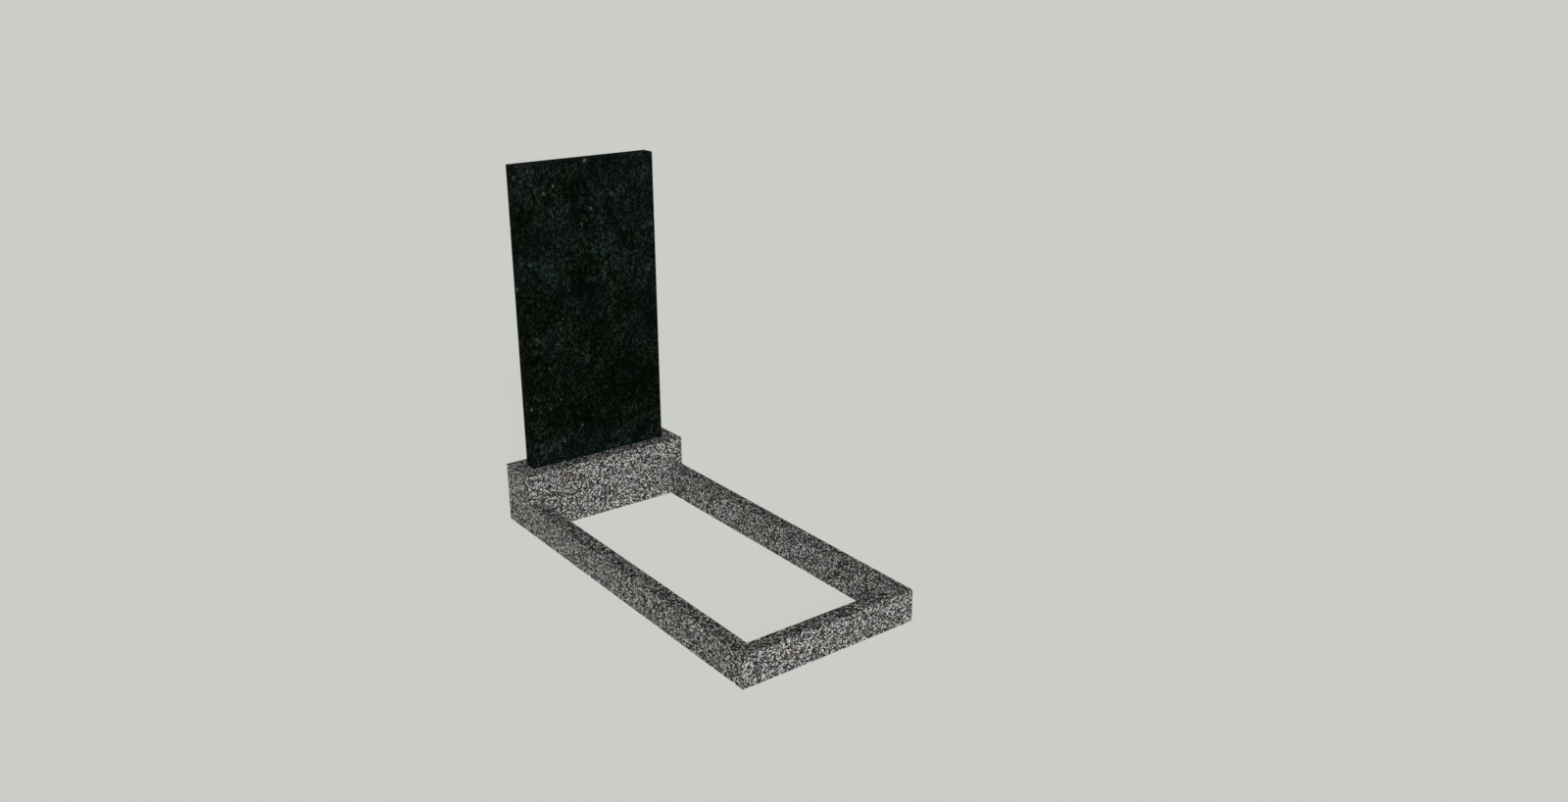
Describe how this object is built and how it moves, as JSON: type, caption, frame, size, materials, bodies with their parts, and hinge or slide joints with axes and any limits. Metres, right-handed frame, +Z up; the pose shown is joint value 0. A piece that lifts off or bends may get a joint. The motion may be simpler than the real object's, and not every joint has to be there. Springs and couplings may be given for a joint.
{
  "type": "upright headstone",
  "caption": "Upright slab of dark stone on a low speckled plinth, with a low kerb of stone rails framing an open planting bed in front of it.",
  "frame": {"origin": "on the ground, at the centre of the whole footprint", "axes": "+Z up, +Y from the foot of the kerb towards the stele, +X to the right of someone who faces the stele"},
  "size_m": [0.6, 1.3502, 1.2003],
  "materials": {
    "black_green_granite": "gloss",
    "speckled_grey_granite": "satin"
  },
  "bodies": {
    "root": {"stele": "black_green_granite", "plinth": "speckled_grey_granite", "kerb_rail_left": "speckled_grey_granite", "kerb_rail_right": "speckled_grey_granite", "kerb_rail_front": "speckled_grey_granite"}
  },
  "joints": []
}
